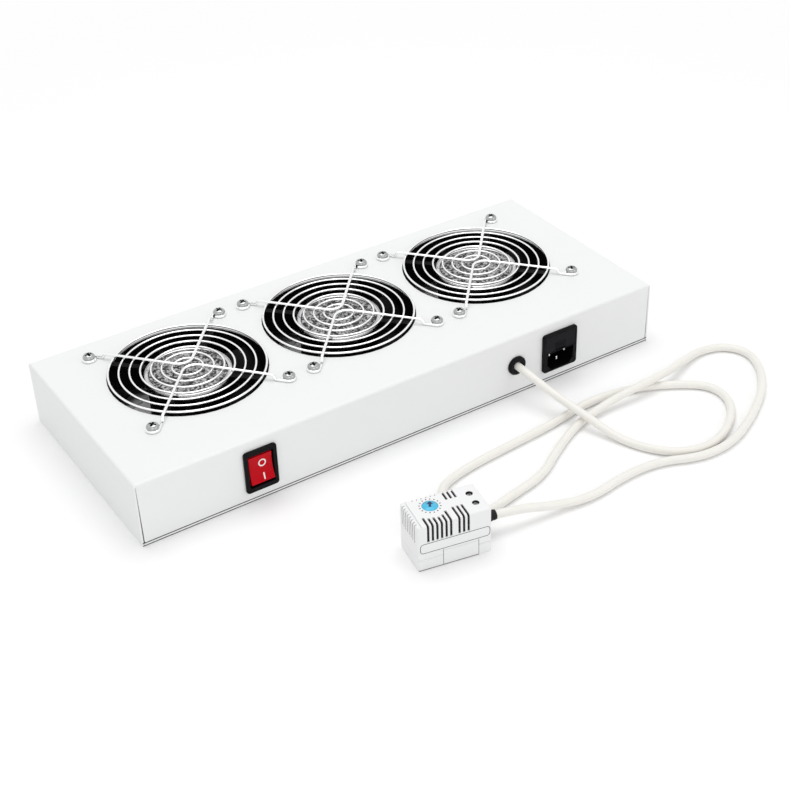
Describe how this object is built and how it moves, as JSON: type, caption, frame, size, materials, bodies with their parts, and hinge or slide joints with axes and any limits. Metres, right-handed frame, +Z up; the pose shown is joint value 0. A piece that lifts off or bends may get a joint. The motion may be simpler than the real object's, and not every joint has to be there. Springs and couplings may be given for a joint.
{
  "type": "rack fan tray",
  "caption": "Low white metal fan tray with axial fans under wire guards, a rocker switch, a fused mains inlet and a thermostat on a loose cord.",
  "frame": {"origin": "centre of the tray's base, on the surface that the tray stands on", "axes": "+X along the tray's length, to the right as seen from the front panel; +Y to the back; +Z up"},
  "size_m": [0.4791, 0.3192, 0.0555],
  "materials": {
    "white_paint": "satin white powder coat",
    "screw_steel": "zinc plated",
    "guard_chrome": "bright chrome plate",
    "screw_chrome": "bright nickel plate",
    "black_gloss": "glossy black",
    "red_gloss": "glossy red",
    "tab_brass": "satin brass",
    "pin_steel": "nickel plated",
    "black_drawer": "satin black",
    "fuse_glass": "clear",
    "grommet_black": "satin black",
    "block_nylon": "natural nylon",
    "pale_plastic": "satin pale grey",
    "dial_blue": "satin cyan blue",
    "gland_rubber": "matt black",
    "cord_ivory": "satin ivory",
    "fan_black": "satin black",
    "core_steel": "varnished laminations"
  },
  "bodies": {
    "tray": {"top_cover": "white_paint", "base_plate": "white_paint", "base_screws": "screw_steel", "outlet_guards": "guard_chrome", "fan_screws": "screw_chrome", "switch_body": "black_gloss", "switch_tabs": "tab_brass", "inlet_body": "black_gloss", "inlet_pins": "pin_steel", "cord_grommet": "grommet_black", "terminal_block": "block_nylon", "earth_stud": "screw_steel", "earth_nut": "screw_steel", "thermostat_housing": "pale_plastic", "thermostat_base": "pale_plastic", "thermostat_terminals": "block_nylon", "terminal_screws": "tab_brass", "thermostat_bimetal": "tab_brass", "thermostat_gland": "gland_rubber", "control_cord": "cord_ivory", "fan_frame_left": "fan_black", "stator_left": "core_steel", "fan_frame_middle": "fan_black", "stator_middle": "core_steel", "fan_frame_right": "fan_black", "stator_right": "core_steel"},
    "rotor_left_body": {"rotor_left": "fan_black"},
    "rotor_middle_body": {"rotor_middle": "fan_black"},
    "rotor_right_body": {"rotor_right": "fan_black"},
    "rocker_body": {"rocker": "red_gloss"},
    "drawer_body": {"fuse_drawer": "black_drawer", "fuse": "fuse_glass"},
    "dial_body": {"thermostat_dial": "dial_blue"}
  },
  "joints": [
    {"name": "rotor_left_spin", "type": "hinge", "parent": "tray", "child": "rotor_left_body", "pos_m": [-0.125, 0.013, 0.03], "axis": [0, 0, 1], "continuous": true},
    {"name": "rotor_middle_spin", "type": "hinge", "parent": "tray", "child": "rotor_middle_body", "pos_m": [0, 0.013, 0.03], "axis": [0, 0, 1], "continuous": true},
    {"name": "rotor_right_spin", "type": "hinge", "parent": "tray", "child": "rotor_right_body", "pos_m": [0.125, 0.013, 0.03], "axis": [0, 0, 1], "continuous": true},
    {"name": "rocker_tilt", "type": "hinge", "parent": "tray", "child": "rocker_body", "pos_m": [-0.1245, -0.085, 0.0253], "axis": [1, 0, 0], "range_deg": [0, 14]},
    {"name": "drawer_slide", "type": "slide", "parent": "tray", "child": "drawer_body", "axis": [0, -1, 0], "range_m": [0, 0.014]},
    {"name": "dial_turn", "type": "hinge", "parent": "tray", "child": "dial_body", "pos_m": [-0.06132, -0.19759, 0.0349], "axis": [0, 0, 1], "range_deg": [-135, 135]}
  ]
}
